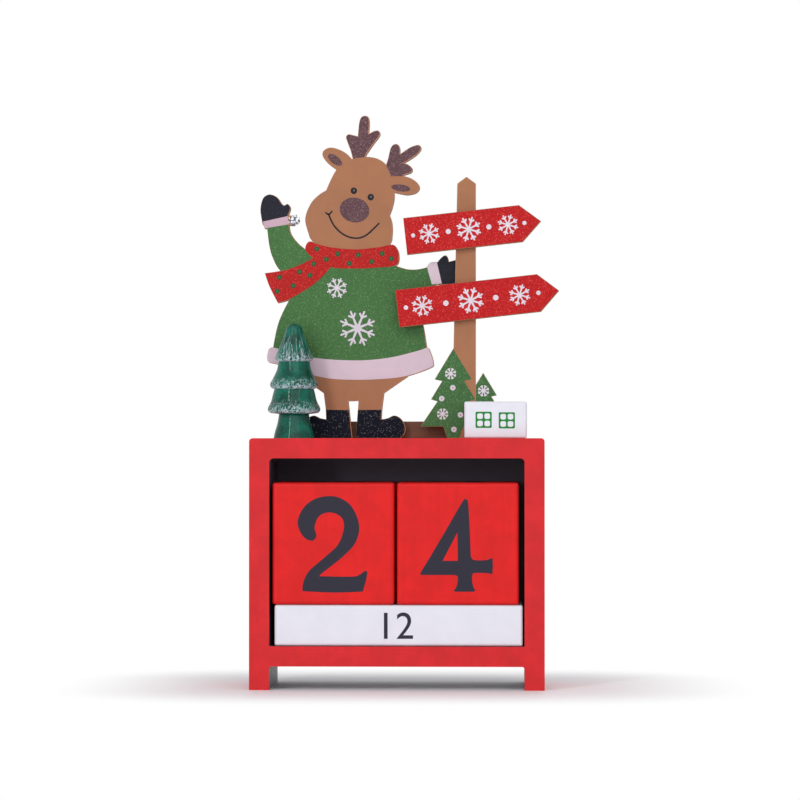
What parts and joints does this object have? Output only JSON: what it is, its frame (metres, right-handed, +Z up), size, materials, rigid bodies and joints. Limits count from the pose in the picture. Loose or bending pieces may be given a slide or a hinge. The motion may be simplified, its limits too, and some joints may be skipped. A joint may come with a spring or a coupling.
{
  "type": "desk countdown calendar",
  "caption": "Wooden countdown calendar: a box frame holds loose number cubes and month bars, with a flat reindeer, signpost, trees and a house standing on top.",
  "frame": {"origin": "on the standing surface, under the middle of the whole object's box", "axes": "+Z up, +X to the right seen from the front, +Y to the back, so the digits face -Y"},
  "size_m": [0.0896, 0.0388, 0.1671],
  "materials": {
    "red_frame": "satin red paint",
    "red_cube": "satin red paint",
    "white_bar": "satin white paint",
    "black_board": "matt black paint",
    "brad_steel": "bright drawn steel",
    "brown_sheet": "printed brown fibreboard",
    "raw_wood": "raw fibreboard",
    "red_sign": "red glitter print",
    "white_house": "satin white paint",
    "green_tree": "gloss green paint",
    "silver_flake": "silver gloss"
  },
  "bodies": {
    "frame": {"left_side_board": "red_frame", "right_side_board": "red_frame", "top_board": "red_frame", "shelf_board": "red_frame", "back_board": "black_board", "frame_brads": "brad_steel", "back_board_brads": "brad_steel", "reindeer_cutout": "brown_sheet", "wrist_snowflake": "silver_flake", "support_batten": "raw_wood", "signpost_cutout": "brown_sheet", "upper_sign": "red_sign", "lower_sign": "red_sign", "house_block": "white_house", "turned_tree": "green_tree", "turned_tree_dowel": "raw_wood"},
    "left_cube": {"left_number_cube": "red_cube"},
    "right_cube": {"right_number_cube": "red_cube"},
    "front_bar": {"front_month_bar": "white_bar"},
    "middle_bar": {"middle_month_bar": "white_bar"},
    "rear_bar": {"rear_month_bar": "white_bar"}
  },
  "joints": [
    {"name": "left_cube_slide", "type": "slide", "parent": "frame", "child": "left_cube", "axis": [0, -1, 0], "range_m": [0, 0.06]},
    {"name": "right_cube_slide", "type": "slide", "parent": "frame", "child": "right_cube", "axis": [0, -1, 0], "range_m": [0, 0.06]},
    {"name": "front_bar_slide", "type": "slide", "parent": "middle_bar", "child": "front_bar", "axis": [0, -1, 0], "range_m": [0, 0.03]},
    {"name": "middle_bar_slide", "type": "slide", "parent": "rear_bar", "child": "middle_bar", "axis": [0, -1, 0], "range_m": [0, 0.03]},
    {"name": "rear_bar_slide", "type": "slide", "parent": "frame", "child": "rear_bar", "axis": [0, -1, 0], "range_m": [0, 0.04]}
  ]
}
